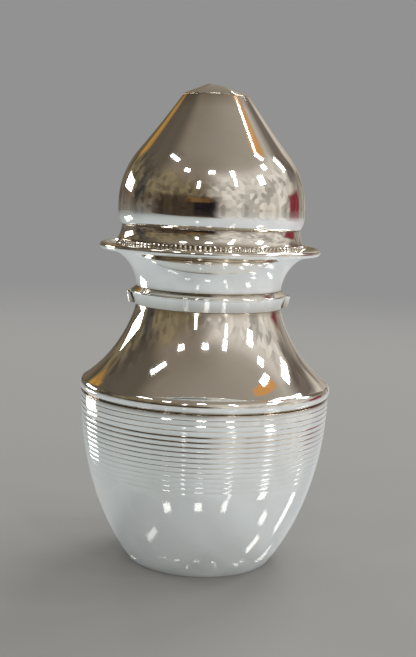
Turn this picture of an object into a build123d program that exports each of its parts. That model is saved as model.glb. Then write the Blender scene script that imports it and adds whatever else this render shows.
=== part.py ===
from build123d import *

import os
from math import asin, cos, degrees, radians, sin, sqrt

# Lidded dappen dish: a spun metal pot with turned grooves, a glass well hung in its
# throat, and a domed lid that lifts off. Every length is in millimetres. The origin
# is the centre of the foot, +Z is up, and the lugs on the neck ring lie along X.

# ------------------------------------------------------------- driving dimensions
# Body, a pot with an elliptic side
body_h = 34.0  # foot to mouth
body_r = 24.75  # outer radius at the mouth
foot_r = 14.4  # outer radius of the foot
belly_reach = 12.0  # how far below the foot the ellipse of the side would run on
body_wall = 1.0
body_floor = 1.8
foot_corner = 0.5

# Fine grooves turned round the body
groove_pitch = 1.0
groove_depth = 0.15
groove_width = 0.44
groove_below_mouth = 1.0  # mouth to the first groove
groove_above_foot = 19.0  # foot to the last groove

# Felt pad let into the foot
pad_inset = 3.4  # foot's edge to the pad's edge
pad_t = 0.7
pad_clearance = 0.1  # all round the pad, and between the pad and the table

# Shoulder, a concave cone with a rolled edge
shoulder_rise = 17.4
shoulder_ledge = 0.1  # how far the cone's top stands out past the neck
shoulder_wall = 0.9
shoulder_hollow = 1.52  # how deep the cone is dished, at the middle of its slope
roll_h = 2.7  # height of the rolled edge
roll_proud = 0.25  # how far it stands out past the body's mouth
roll_out = 1.3  # mouth to the edge's outermost ring
roll_inset = 0.8  # how far the edge turns back in below, and in above
spigot_h = 2.0  # the shoulder's skirt inside the body's mouth
spigot_fit = 0.05

# Ring round the neck
ring_h = 3.5
ring_proud = 1.3  # its outermost edge past the neck
ring_nose = 2.5  # ring's lower face to its outermost edge
ring_nose_h = 0.5
ring_foot_proud = 0.3  # its lower edge past the neck

# Lugs at the two sides of the ring
lug_r = 1.1
lug_bore_r = 0.85
lug_bore_depth = 1.9
lug_inset = 0.3  # ring's outermost edge to the middle of the lug's top
lug_top = 2.5  # ring's lower face to the middle of the lug's top
lug_lean = 12.0  # degrees outwards from upright
lug_round = 0.45  # rounding of the solid lug's top

# Collar: a trumpet neck that ends in a flange with a thickened lip
collar_h = 8.0  # ring to the flange's flat top
neck_r = 14.3  # outer radius at the narrowest place
neck_wall = 0.9
neck_hidden = 1.0  # how far the narrowest place lies below the ring's top
flange_reach = 7.85  # neck's narrowest place to the flange's edge
flange_t = 0.8
flange_lip_w = 1.05
flange_lip_rise = 0.45  # lip above the flange's flat top
mouth_wall = 0.9  # the collar's wall beside the well's seat
mouth_slope = 1.3  # how much wider the mouth is at the top than at the seat
seat_below_flange = 3.4  # flange's flat top to the seat of the well

# Glass well
well_clearance = 0.3  # between the glass and the metal round it
well_wall = 1.3
well_bottom = 1.8
well_depth = 32.0  # seat to the well's underside
lip_t = 1.2

# Lid
gadroon_h = 1.25
gadroon_inset = 1.85  # flange's lip to the crest of the ribs
gadroon_wall = 1.3
gadroon_count = 126
gadroon_flute_r = 0.3
band_h = 2.85
band_inset = 0.35  # crest of the ribs to the band's foot
band_taper = 0.8  # band's foot to the waist, where it meets the dome
band_wall = 1.45
band_hollow = 0.22
bead_h = 2.7  # waist to the dome's upright stretch
bead_proud = 0.8  # how far the dome stands out past the waist
belt_h = 1.3  # the upright stretch
dome_taper = 3.85  # upright stretch to where the side turns from bulging to hollow
dome_turn_h = 10.6  # upright stretch to that turn
dome_upper_h = 10.8  # that turn to the dome's flat top
dome_top_r = 6.5
dome_wall = 0.8

# Crown on the dome, and the stud and nut that hold it
crown_sides = 6
crown_overhang = 0.2  # crown's corners past the dome's flat top
crown_edge_h = 0.2
crown_slope = 0.42  # rise over run of the sloping sides
crown_tip_r = 1.0
crown_cut_h = 1.95  # crown's underside to its sloping top, on the axis
crown_cut_tilt = 11.0  # degrees
stud_r = 1.5
stud_clearance = 0.1
stud_below_nut = 0.6
washer_r = 3.4
washer_t = 0.5
nut_across_flats = 5.5
nut_h = 2.0

# Plug and seal under the lid
plug_fit = 0.05
plug_flange_t = 1.0
plug_gap = 0.5  # between the plug's lower edge and the mouth
plug_wall = 1.0
seal_t = 0.8
seal_ledge = 0.8  # the well's bowl to the seal's bore
seal_inset = 0.6  # plug's edge to the seal's edge

# ------------------------------------------------------------- heights and radii
shoulder_top = body_h + shoulder_rise
ring_top = shoulder_top + ring_h
flange_top = ring_top + collar_h
seat_z = flange_top - seat_below_flange
lip_top = seat_z + lip_t
gadroon_top = flange_top + gadroon_h
waist_z = gadroon_top + band_h
belt_z = waist_z + bead_h
dome_turn_z = belt_z + belt_h + dome_turn_h
dome_top = dome_turn_z + dome_upper_h
plug_z = lip_top + seal_t

# Radii of the pot follow the body and the neck.
pad_r = foot_r - pad_inset
shoulder_r = body_r + roll_proud  # outermost, on the rolled edge
shoulder_top_r = neck_r + shoulder_ledge
ring_r = neck_r + ring_proud
ring_foot_r = neck_r + ring_foot_proud
lug_reach = ring_r - lug_inset
neck_bore_r = neck_r - neck_wall
flange_r = neck_r + flange_reach
flat_r = flange_r - flange_lip_w - flange_lip_rise  # edge of the flange's flat top

# Radii of the lid follow the flange.
gadroon_r = flat_r - gadroon_inset
gadroon_bore_r = gadroon_r - gadroon_wall
band_foot_r = gadroon_r - band_inset
waist_r = band_foot_r - band_taper
dome_r = waist_r + bead_proud
dome_turn_r = dome_r - dome_taper
crown_r = dome_top_r + crown_overhang

# The body's side is part of an ellipse centred at the height of the mouth.
side_b = body_h + belly_reach
side_a = (body_r - foot_r) / (1 - sqrt(1 - (body_h / side_b) ** 2))
side_axis_r = body_r - side_a

# The trumpet's outside is a quarter of an ellipse, centred outside the neck.
trumpet_axis_r = flange_r - flange_lip_w
trumpet_a = trumpet_axis_r - neck_r
trumpet_axis_z = ring_top - neck_hidden
trumpet_b = flange_top - flange_t - trumpet_axis_z


def side_r(z, inset=0.0):
    """Radius of the body's side at height z, or of a line a wall inside it."""
    drop = (body_h - z) / (side_b - inset)
    return side_axis_r + (side_a - inset) * sqrt(1 - drop**2)


def side_angle(z, inset=0.0):
    """Parameter, in degrees, of that ellipse at height z."""
    return -degrees(asin((body_h - z) / (side_b - inset)))


def trumpet_r(z):
    """Outer radius of the trumpet neck at height z."""
    rise = (z - trumpet_axis_z) / trumpet_b
    return trumpet_axis_r - trumpet_a * sqrt(1 - rise**2)


seat_r = trumpet_r(seat_z) - mouth_wall
mouth_r = seat_r + mouth_slope
well_r = neck_bore_r - well_clearance
bowl_r = well_r - well_wall
well_foot_z = seat_z - well_depth
plug_r = seat_r + mouth_slope * (plug_z - seat_z) / seat_below_flange - plug_gap
seal_bore_r = bowl_r + seal_ledge

# ---------------------------------------------------------------------- the pot
with BuildPart() as body_shell:
    with BuildSketch(Plane.XZ) as wall_section:
        with BuildLine():
            outside = EllipticalCenterArc(
                (side_axis_r, body_h), side_a, side_b, side_angle(0), arc_size=-side_angle(0)
            )
            inner_start = side_angle(body_floor, body_wall)
            inside = EllipticalCenterArc(
                (side_axis_r, body_h),
                side_a - body_wall,
                side_b - body_wall,
                inner_start,
                arc_size=-inner_start,
            )
            Line(outside @ 1, inside @ 1)
            Polyline(inside @ 0, (0, body_floor), (0, 0), outside @ 0)
        make_face()
        foot_vertex = wall_section.vertices().group_by(Axis.Y)[0].sort_by(Axis.X)[-1]
        fillet(foot_vertex, foot_corner)
    revolve(axis=Axis.Z)
    with BuildSketch(Plane.XZ):
        groove_z = body_h - groove_below_mouth
        while groove_z >= groove_above_foot:
            rim = side_r(groove_z)
            with BuildLine():
                Polyline(
                    (rim - groove_depth, groove_z),
                    (rim + groove_depth, groove_z + groove_width),
                    (rim + groove_depth, groove_z - groove_width),
                    close=True,
                )
            make_face()
            groove_z -= groove_pitch
    revolve(axis=Axis.Z, mode=Mode.SUBTRACT)
    Cylinder(
        pad_r + pad_clearance,
        pad_t + pad_clearance,
        align=(Align.CENTER, Align.CENTER, Align.MIN),
        mode=Mode.SUBTRACT,
    )
body_shell.part.label = "body_shell"

with BuildPart() as base_pad:
    with BuildSketch(Plane.XY.offset(pad_clearance)):
        Circle(pad_r)
    extrude(amount=pad_t)
base_pad.part.label = "base_pad"

with BuildPart() as shoulder:
    spigot_r = side_r(body_h - spigot_h, body_wall) - spigot_fit
    roll_in_r = shoulder_r - roll_inset
    roll_top_z = body_h + roll_h
    with BuildSketch(Plane.XZ):
        with BuildLine():
            edge = ThreePointArc(
                (roll_in_r, body_h), (shoulder_r, body_h + roll_out), (roll_in_r, roll_top_z)
            )
            cone = SagittaArc(edge @ 1, (shoulder_top_r, shoulder_top), shoulder_hollow)
            lining = SagittaArc(
                (shoulder_top_r - shoulder_wall, shoulder_top),
                (spigot_r - shoulder_wall, roll_top_z - shoulder_wall),
                -shoulder_hollow,
            )
            Line(cone @ 1, lining @ 0)
            Polyline(
                lining @ 1,
                (spigot_r - shoulder_wall, body_h - spigot_h),
                (spigot_r, body_h - spigot_h),
                (spigot_r, body_h),
                edge @ 0,
            )
        make_face()
    revolve(axis=Axis.Z)
shoulder.part.label = "shoulder"

# The lugs' lean is the same on both sides. Each stands in a notch of the ring.
lean_x = sin(radians(lug_lean))
lean_z = cos(radians(lug_lean))
lug_right_top = Plane(
    origin=(lug_reach, 0, shoulder_top + lug_top), x_dir=(0, 1, 0), z_dir=(lean_x, 0, lean_z)
)
lug_left_top = Plane(
    origin=(-lug_reach, 0, shoulder_top + lug_top), x_dir=(0, 1, 0), z_dir=(-lean_x, 0, lean_z)
)
lug_length = 2 * lug_top

with BuildPart() as neck_ring:
    nose_z = shoulder_top + ring_nose
    with BuildSketch(Plane.XZ):
        with BuildLine():
            nose = ThreePointArc(
                (ring_r - ring_nose_h / 2, nose_z - ring_nose_h / 2),
                (ring_r, nose_z),
                (ring_r - ring_nose_h / 2, nose_z + ring_nose_h / 2),
            )
            Polyline(
                nose @ 1,
                (trumpet_r(ring_top), ring_top),
                (neck_bore_r, ring_top),
                (neck_bore_r, shoulder_top),
                (ring_foot_r, shoulder_top),
                nose @ 0,
            )
        make_face()
    revolve(axis=Axis.Z)
    for lug_plane in (lug_left_top, lug_right_top):
        with BuildSketch(lug_plane.offset(lug_r)):
            Circle(lug_r)
        extrude(amount=-lug_length, mode=Mode.SUBTRACT)
neck_ring.part.label = "neck_ring"

with BuildPart() as lug_right:
    with BuildSketch(lug_right_top):
        Circle(lug_r)
    extrude(amount=-lug_length)
    split(bisect_by=Plane.XY.offset(shoulder_top), keep=Keep.TOP)
    with BuildSketch(lug_right_top):
        Circle(lug_bore_r)
    extrude(amount=-lug_bore_depth, mode=Mode.SUBTRACT)
lug_right.part.label = "lug_right"

with BuildPart() as lug_left:
    with BuildSketch(lug_left_top):
        Circle(lug_r)
    extrude(amount=-lug_length)
    split(bisect_by=Plane.XY.offset(shoulder_top), keep=Keep.TOP)
    fillet(lug_left.faces().sort_by(Axis.Z)[-1].edges(), lug_round)
lug_left.part.label = "lug_left"

with BuildPart() as collar:
    with BuildSketch(Plane.XZ) as collar_section:
        with BuildLine():
            start = degrees(asin((ring_top - trumpet_axis_z) / trumpet_b))
            trumpet = EllipticalCenterArc(
                (trumpet_axis_r, trumpet_axis_z), trumpet_a, trumpet_b, 90, arc_size=90 - start
            )
            lip = ThreePointArc(
                trumpet @ 0,
                (flange_r, flange_top - flange_lip_rise / 2),
                (flange_r - flange_lip_w, flange_top + flange_lip_rise),
            )
            Polyline(
                lip @ 1,
                (flat_r, flange_top),
                (mouth_r, flange_top),
                (seat_r, seat_z),
                (neck_bore_r, seat_z),
                (neck_bore_r, ring_top),
                trumpet @ 1,
            )
        make_face()
    revolve(axis=Axis.Z)
collar.part.label = "collar"

# --------------------------------------------------------------------- the well
with BuildPart() as glass_well:
    bowl_z = well_foot_z + well_bottom + bowl_r
    with BuildSketch(Plane.XZ) as well_section:
        with BuildLine():
            bowl = CenterArc((0, bowl_z), bowl_r, -90, 90)
            Polyline(
                bowl @ 1,
                (bowl_r, lip_top),
                (seat_r - well_clearance, lip_top),
                (seat_r - well_clearance, seat_z),
                (well_r, seat_z),
                (well_r, well_foot_z),
                (0, well_foot_z),
                bowl @ 0,
            )
        make_face()
        foot_vertex = well_section.vertices().group_by(Axis.Y)[0].sort_by(Axis.X)[-1]
        fillet(foot_vertex, well_bottom)
        brim = well_section.vertices().group_by(Axis.Y)[-1]
        fillet(brim, well_clearance)
    revolve(axis=Axis.Z)
glass_well.part.label = "glass_well"

# ---------------------------------------------------------------------- the lid
with BuildPart() as gadroon_ring:
    with BuildSketch(Plane.XY.offset(flange_top)):
        Circle(gadroon_r)
        with PolarLocations(gadroon_r, gadroon_count):
            Circle(gadroon_flute_r, mode=Mode.SUBTRACT)
        Circle(gadroon_bore_r, mode=Mode.SUBTRACT)
    extrude(amount=gadroon_h)
gadroon_ring.part.label = "gadroon_ring"

with BuildPart() as lid_band:
    with BuildSketch(Plane.XZ):
        with BuildLine():
            flare = SagittaArc((band_foot_r, gadroon_top), (waist_r, waist_z), band_hollow)
            Polyline(
                flare @ 1,
                (waist_r - band_wall, waist_z),
                (band_foot_r - band_wall, gadroon_top),
                flare @ 0,
            )
        make_face()
    revolve(axis=Axis.Z)
lid_band.part.label = "lid_band"

with BuildPart() as lid_dome:
    with BuildSketch(Plane.XZ):
        with BuildLine():
            flat_top = Line((stud_r + stud_clearance, dome_top), (dome_top_r, dome_top))
            bulge = TangentArc(
                (dome_r, belt_z + belt_h), (dome_turn_r, dome_turn_z), tangent=(0, 1)
            )
            hollow = TangentArc(bulge @ 1, flat_top @ 1, tangent=bulge % 1)
            belt = Line(bulge @ 0, (dome_r, belt_z))
            TangentArc(belt @ 1, (waist_r, waist_z), tangent=(0, -1))
            offset(amount=dome_wall, side=Side.RIGHT)
        make_face()
    revolve(axis=Axis.Z)
    split(bisect_by=Plane.XY.offset(waist_z), keep=Keep.TOP)
lid_dome.part.label = "lid_dome"

with BuildPart() as crown_cap:
    with BuildSketch(Plane.XY.offset(dome_top)):
        RegularPolygon(crown_r, crown_sides)
    extrude(amount=crown_edge_h)
    crown_rise = crown_slope * (crown_r - crown_tip_r)
    with BuildSketch(Plane.XY.offset(dome_top + crown_edge_h)):
        RegularPolygon(crown_r, crown_sides)
    with BuildSketch(Plane.XY.offset(dome_top + crown_edge_h + crown_rise)):
        RegularPolygon(crown_tip_r, crown_sides)
    loft()
    sloping_top = Plane.XY.offset(dome_top + crown_cut_h).rotated((0, crown_cut_tilt, 0))
    split(bisect_by=sloping_top, keep=Keep.BOTTOM)
    stud_length = dome_wall + washer_t + nut_h + stud_below_nut
    with BuildSketch(Plane.XY.offset(dome_top)):
        Circle(stud_r)
    extrude(amount=-stud_length)
crown_cap.part.label = "crown_cap"

with BuildPart() as crown_washer:
    with BuildSketch(Plane.XY.offset(dome_top - dome_wall)):
        Circle(washer_r)
        Circle(stud_r + stud_clearance, mode=Mode.SUBTRACT)
    extrude(amount=-washer_t)
crown_washer.part.label = "crown_washer"

with BuildPart() as crown_nut:
    with BuildSketch(Plane.XY.offset(dome_top - dome_wall - washer_t)):
        RegularPolygon(nut_across_flats / 2, 6, major_radius=False)
        Circle(stud_r, mode=Mode.SUBTRACT)
    extrude(amount=-nut_h)
crown_nut.part.label = "crown_nut"

with BuildPart() as lid_plug:
    plug_flange_r = gadroon_bore_r - plug_fit
    with BuildSketch(Plane.XZ):
        with BuildLine():
            Polyline(
                (0, plug_z),
                (plug_r, plug_z),
                (plug_r, gadroon_top - plug_flange_t),
                (plug_flange_r, gadroon_top - plug_flange_t),
                (plug_flange_r, gadroon_top),
                (plug_r - plug_wall, gadroon_top),
                (plug_r - plug_wall, plug_z + plug_wall),
                (0, plug_z + plug_wall),
                close=True,
            )
        make_face()
    revolve(axis=Axis.Z)
lid_plug.part.label = "lid_plug"

with BuildPart() as lid_seal:
    with BuildSketch(Plane.XY.offset(lip_top)):
        Circle(plug_r - seal_inset)
        Circle(seal_bore_r, mode=Mode.SUBTRACT)
    extrude(amount=seal_t)
lid_seal.part.label = "lid_seal"

# ----------------------------------------------------------------- one STEP each
os.makedirs("parts", exist_ok=True)
export_step(body_shell.part, "parts/body_shell.step")
export_step(base_pad.part, "parts/base_pad.step")
export_step(shoulder.part, "parts/shoulder.step")
export_step(neck_ring.part, "parts/neck_ring.step")
export_step(lug_right.part, "parts/lug_right.step")
export_step(lug_left.part, "parts/lug_left.step")
export_step(collar.part, "parts/collar.step")
export_step(glass_well.part, "parts/glass_well.step")
export_step(gadroon_ring.part, "parts/gadroon_ring.step")
export_step(lid_band.part, "parts/lid_band.step")
export_step(lid_dome.part, "parts/lid_dome.step")
export_step(crown_cap.part, "parts/crown_cap.step")
export_step(crown_washer.part, "parts/crown_washer.step")
export_step(crown_nut.part, "parts/crown_nut.step")
export_step(lid_plug.part, "parts/lid_plug.step")
export_step(lid_seal.part, "parts/lid_seal.step")
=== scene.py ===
"""A lidded dappen dish of silver-plated brass: the looks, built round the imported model's fixed frame."""
from math import asin, atan2, ceil, cos, degrees, pi, radians, sin, sqrt, tan

import bpy
from bpy.props import FloatProperty, FloatVectorProperty, IntProperty, PointerProperty
from mathutils import Matrix, Vector


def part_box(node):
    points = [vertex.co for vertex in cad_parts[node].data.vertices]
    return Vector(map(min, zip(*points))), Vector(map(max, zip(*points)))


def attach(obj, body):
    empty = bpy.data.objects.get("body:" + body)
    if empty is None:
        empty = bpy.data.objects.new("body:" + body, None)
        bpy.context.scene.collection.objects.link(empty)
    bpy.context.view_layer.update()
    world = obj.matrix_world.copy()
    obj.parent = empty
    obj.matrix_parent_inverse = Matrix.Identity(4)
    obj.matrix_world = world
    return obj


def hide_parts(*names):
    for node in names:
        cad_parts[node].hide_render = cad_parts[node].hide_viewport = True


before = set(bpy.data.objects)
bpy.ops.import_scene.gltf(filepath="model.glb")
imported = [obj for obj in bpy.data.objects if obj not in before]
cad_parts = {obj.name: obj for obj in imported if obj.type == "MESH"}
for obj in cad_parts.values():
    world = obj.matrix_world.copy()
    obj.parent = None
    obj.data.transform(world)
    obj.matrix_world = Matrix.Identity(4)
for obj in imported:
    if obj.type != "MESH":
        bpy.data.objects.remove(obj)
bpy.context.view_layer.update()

bl_info = {
    "name": "Lidded dappen dish",
    "version": (1, 0, 0),
    "blender": (4, 5, 0),
    "location": "3D View > Sidebar > Dappen dish",
    "description": "Makes a silver-plated dappen dish with its glass well, domed lid and studio",
    "category": "Object",
}

MM = 0.001
TURN_STEPS = 192  # facets round a turned piece
SMOOTH_ANGLE = radians(30)
CORNER_ANGLE = radians(24)  # an outline that turns by more has a corner there
CORNER_STEPS = 5  # straight pieces of a softened corner
CORNER_SHARE = 0.4  # the most that a softened corner takes of the stretch beside it
ROOM_WIDTHS = 3  # how far along the outline a softened corner looks for the next one, in its own widths
WELD = 1e-7


def srgb(code):
    """Linear colour of an sRGB hex code, with an alpha of 1."""
    channels = [int(code[i : i + 2], 16) / 255 for i in (1, 3, 5)]
    return tuple(c / 12.92 if c <= 0.04045 else ((c + 0.055) / 1.055) ** 2.4 for c in channels) + (1.0,)


# ------------------------------------------------------------------ sizes and colours
def length_property(name, description, millimetres):
    """A size that a user may change."""
    return FloatProperty(name=name, description=description, default=millimetres * MM, unit="LENGTH")


def colour_property(name, description, code):
    """A colour that a user may change, from its sRGB hex code."""
    return FloatVectorProperty(
        name=name, description=description, default=srgb(code), size=4, subtype="COLOR"
    )


class PotSizes(bpy.types.PropertyGroup):
    """Sizes of the pot that its box in the frame doesn't give"""

    foot_radius: length_property("Foot radius", "Outer radius of the foot", 14.4)
    belly_reach: length_property(
        "Belly reach", "How far below the foot the ellipse of the side would run on", 12.0
    )
    body_wall: length_property("Body wall", "Thickness of the body's side", 1.0)
    body_floor: length_property("Body floor", "Thickness of the body's bottom", 1.8)
    groove_pitch: length_property("Groove pitch", "Height from groove to groove", 1.0)
    groove_depth: length_property("Groove depth", "Depth of the top groove", 0.075)
    groove_half: length_property("Groove half height", "Half the height of a groove", 0.12)
    groove_fade: FloatProperty(
        name="Groove fade",
        description="How much shallower the lowest groove is than the top one",
        default=0.7,
        subtype="FACTOR",
    )
    groove_below_mouth: length_property("First groove", "Mouth to the first groove", 1.0)
    groove_above_foot: length_property("Last groove", "Foot to the last groove", 19.0)
    shoulder_wall: length_property("Shoulder wall", "Thickness of the shoulder", 0.9)
    shoulder_hollow: length_property(
        "Shoulder hollow", "How deep the cone is dished, at the middle of its slope", 1.52
    )
    roll_height: length_property("Roll height", "Height of the rolled edge", 2.7)
    roll_inset: length_property("Roll inset", "How far the edge turns back in", 0.8)
    ring_nose: length_property("Ring nose", "Neck ring's lower face to its outermost edge", 2.5)
    neck_radius: length_property("Neck radius", "Outer radius at the narrowest place", 14.3)
    neck_wall: length_property("Neck wall", "Thickness of the neck", 0.9)
    neck_hidden: length_property(
        "Neck hidden", "How far the narrowest place lies below the ring's top", 1.0
    )
    flange_thickness: length_property("Flange thickness", "Thickness of the flat flange", 0.8)
    flange_lip: length_property("Flange lip", "Width of the flange's thick lip", 1.05)
    flange_lip_rise: length_property("Flange lip rise", "Lip above the flange's flat top", 0.45)
    mouth_slope: length_property(
        "Mouth slope", "How much wider the mouth is at the top than at the well's seat", 1.3
    )
    lug_radius: length_property("Lug radius", "Outer radius of a lug", 1.1)
    lug_bore_radius: length_property("Lug bore radius", "Bore of the open lug", 0.85)
    lug_bore_depth: length_property("Lug bore depth", "Depth of the open lug's bore", 1.9)
    lug_reach: length_property("Lug reach", "Pot's axis to the middle of a lug's top", 15.3)
    lug_top: length_property("Lug top", "Neck ring's lower face to the middle of a lug's top", 2.5)
    lug_lean: FloatProperty(
        name="Lug lean", description="Outwards from upright", default=radians(12), subtype="ANGLE"
    )


class WellSizes(bpy.types.PropertyGroup):
    """Sizes of the glass well"""

    clearance: length_property("Clearance", "Between the glass and the metal", 0.3)
    wall: length_property("Wall", "Thickness of the glass", 1.3)
    bottom: length_property("Bottom", "Thickness of the well's bottom", 1.8)
    lip: length_property("Lip", "Thickness of the lip", 1.2)


class LidSizes(bpy.types.PropertyGroup):
    """Sizes of the lid that its pieces' boxes in the frame don't give"""

    rib_count: IntProperty(name="Ribs", description="Upright ribs round the lid's foot", default=126, min=12)
    rib_depth: length_property("Rib depth", "How far a rib stands out of its band", 0.34)
    rib_share: FloatProperty(
        name="Rib share", description="Share of the pitch that a rib fills", default=0.86, subtype="FACTOR"
    )
    ring_bore: length_property("Ring bore", "Inner radius of the ribbed band", 17.5)
    band_wall: length_property("Band wall", "Thickness of the flared band", 1.45)
    band_hollow: length_property("Band hollow", "How deep the band is hollowed", 0.22)
    waist_radius: length_property("Waist radius", "Where the band meets the dome", 17.65)
    bead_height: length_property("Bead height", "Waist to the dome's upright stretch", 2.7)
    belt_height: length_property("Belt height", "Height of the upright stretch", 1.3)
    turn_radius: length_property("Turn radius", "Radius where the dome turns from bulging to hollow", 14.6)
    turn_height: length_property("Turn height", "Upright stretch to that turn", 10.6)
    top_radius: length_property("Top radius", "Radius of the dome's flat top", 6.5)
    dome_wall: length_property("Dome wall", "Thickness of the dome", 0.8)
    crown_sides: IntProperty(name="Crown sides", description="Facets of the crown", default=6, min=3)
    crown_edge: length_property("Crown edge", "Height of the crown's upright edge", 0.2)
    crown_slope: FloatProperty(
        name="Crown slope", description="Rise over run of its sloping sides", default=0.42, subtype="FACTOR"
    )
    crown_tip: length_property("Crown tip", "Radius that the sloping sides aim at", 1.0)
    crown_cut: length_property("Crown cut", "Height of its sloping top on the axis", 1.95)
    crown_tilt: FloatProperty(
        name="Crown tilt", description="Slope of its top", default=radians(11), subtype="ANGLE"
    )
    stud_radius: length_property("Stud radius", "Radius of the crown's stud", 1.5)
    plug_wall: length_property("Plug wall", "Thickness of the lid's pan", 1.0)
    plug_radius: length_property("Plug radius", "Radius of the pan below its flange", 15.5)
    seal_bore: length_property("Seal bore", "Inner radius of the silicone seal", 12.6)


class Finishes(bpy.types.PropertyGroup):
    """Colours and surface marks"""

    silver: colour_property("Silver plate", "Clean plate", "#f7f5f0")
    # darker warm plate: film stains and tarnish, and also painted shade in the recesses
    tarnish_and_painted_shade: colour_property("Tarnish", "Plate in the recesses", "#a3927a")
    glass: colour_property("Glass", "Tint of the blown glass", "#f1f8f5")
    brass: colour_property("Brass", "Turned fittings", "#dcb86a")
    felt: colour_property("Felt", "Pad in the foot", "#3b4046")
    silicone: colour_property("Silicone", "Seal under the lid", "#e2e1dc")
    backdrop: colour_property("Backdrop", "Floor and wall as seen", "#929292")
    floor: colour_property("Floor", "Table round the foot as seen", "#9b9b9a")
    softening: length_property("Edge softening", "Rounding of turned edges", 0.12)


# ------------------------------------------------------------------ outlines of radius and height
def curve_steps(angle):
    """How many straight pieces stand for an arc of that angle."""
    return max(4, ceil(abs(degrees(angle)) / 2.5))


def ellipse_arc(centre, reach_r, reach_z, start, end):
    """Points along an ellipse between two of its angles, which start at the +R side."""
    count = curve_steps(end - start)
    turns = [start + (end - start) * i / count for i in range(count + 1)]
    return [Vector((centre[0] + reach_r * cos(t), centre[1] + reach_z * sin(t))) for t in turns]


def bend(first, last, sagitta):
    """Points along the arc from first to last whose middle stands sagitta to the left of its chord."""
    first, last = Vector(first), Vector(last)
    chord = last - first
    left = Vector((-chord.y, chord.x))
    half = 2 * atan2(2 * sagitta, chord.length)
    count = curve_steps(2 * half)
    points = []
    for i in range(count + 1):
        turn = half * (2 * i / count - 1)
        along = 0.5 + 0.5 * sin(turn) / sin(half)
        aside = (cos(turn) - cos(half)) / (2 * sin(half))
        points.append(first + chord * along + left * aside)
    return points


def tangent_bend(first, heading, last):
    """Points along the arc that leaves first in the direction of heading and ends at last."""
    chord = Vector(last) - Vector(first)
    off = atan2(chord.x * heading[1] - chord.y * heading[0], chord.dot(Vector(heading)))
    return bend(first, last, chord.length / 2 * tan(off / 2))


def wall_inside(points, wall):
    """The line that lies a wall to the left of the points, from their end back to their start."""
    inner = []
    for i, point in enumerate(points):
        run = points[min(i + 1, len(points) - 1)] - points[max(i - 1, 0)]
        inner.append(point + Vector((-run.y, run.x)).normalized() * wall)
    return inner[::-1]


def softened(outline, width, stays_sharp=lambda point: False):
    """A closed outline whose corners are replaced by small curves that start a width before them."""
    count = len(outline)
    corners = []
    for i, point in enumerate(outline):
        after = outline[(i + 1) % count] - point
        turn = (point - outline[i - 1]).angle_signed(after) if point.x >= WELD else 0
        if abs(turn) > CORNER_ANGLE and not stays_sharp(point):
            corners.append(i)

    def room(corner, step):
        """Length from a corner to the next one or to the axis, or a little over three widths."""
        total, at = 0.0, corner
        while total <= ROOM_WIDTHS * width:
            after = (at + step) % count
            total += (outline[after] - outline[at]).length
            at = after
            if at in corners or outline[at].x < WELD:
                break
        return total

    def walk(corner, step, length):
        """The point that lies a length from a corner, and the numbers of the points passed on the way."""
        passed, at = [], corner
        while True:
            after = (at + step) % count
            gap = (outline[after] - outline[at]).length
            if gap >= length:
                return outline[at].lerp(outline[after], length / gap), passed
            length -= gap
            at = after
            passed.append(at)

    dropped = set()
    curves = {}
    for corner in corners:
        ends = []
        for step in (-1, 1):
            end, passed = walk(corner, step, min(width, CORNER_SHARE * room(corner, step)))
            ends.append(end)
            dropped.update(passed)
        start, end = ends
        middle = outline[corner]
        shares = [i / CORNER_STEPS for i in range(CORNER_STEPS + 1)]
        curves[corner] = [start * (1 - t) ** 2 + middle * 2 * t * (1 - t) + end * t**2 for t in shares]
    result = []
    for i, point in enumerate(outline):
        if i in curves:
            result.extend(curves[i])
        elif i not in dropped:
            result.append(point)
    return result


# ------------------------------------------------------------------ modelling helpers
def start_piece(name):
    """Names the primitive just added, puts its place into its mesh and opens it for editing."""
    piece = bpy.context.object
    piece.name = name
    piece.data.name = name
    bpy.ops.object.transform_apply(location=True, rotation=True, scale=True)
    bpy.ops.object.mode_set(mode="EDIT")
    return piece


def close_piece(piece):
    """Welds what meets, points every face outwards and shades the piece smooth."""
    bpy.ops.mesh.select_all(action="SELECT")
    bpy.ops.mesh.remove_doubles(threshold=WELD * 10)
    bpy.ops.mesh.normals_make_consistent(inside=False)
    bpy.ops.object.mode_set(mode="OBJECT")
    bpy.ops.object.shade_smooth_by_angle(angle=SMOOTH_ANGLE)
    return piece


def turned(name, outline, steps=TURN_STEPS):
    """A piece turned about the pot's axis. An outline with both ends on the axis isn't closed along it."""
    bpy.ops.object.select_all(action="DESELECT")
    bpy.ops.mesh.primitive_plane_add(size=MM, location=(outline[0].x, 0, outline[0].y))
    piece = start_piece(name)
    bpy.ops.mesh.merge(type="CENTER")
    open_ended = outline[0].x < WELD and outline[-1].x < WELD
    path = outline if open_ended else outline + outline[:1]
    for before, after in zip(path, path[1:]):
        step = after - before
        bpy.ops.mesh.extrude_region_move(TRANSFORM_OT_translate={"value": (step.x, 0, step.y)})
    bpy.ops.mesh.select_all(action="SELECT")
    bpy.ops.mesh.spin(steps=steps, angle=2 * pi, center=(0, 0, 0), axis=(0, 0, 1))
    return close_piece(piece)


def select_where(piece, test):
    """In edit mode, selects the faces whose middle and normal pass the test, and nothing else."""
    bpy.ops.mesh.select_all(action="DESELECT")
    bpy.ops.object.mode_set(mode="OBJECT")
    for face in piece.data.polygons:
        face.select = test(face.center, face.normal)
    bpy.ops.object.mode_set(mode="EDIT")


def mark_tarnish_and_shade(piece, depth_at):
    """Stores, for each point, how deep it lies in a recess, from 0 to 1, for the silver to darken with
    tarnish and painted shade.
    """
    recess = piece.data.attributes.new("recess", "FLOAT", "POINT")
    for vertex, mark in zip(piece.data.vertices, recess.data):
        mark.value = depth_at(Vector((vertex.co.xy.length, vertex.co.z)))


def near_height(*heights, reach=0.5 * MM):
    """A recess that is deepest at each of the heights and fades over the reach."""

    def depth_at(point):
        return max(max(0.0, 1 - abs(point.y - z) / reach) for z in heights)

    return depth_at


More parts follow.
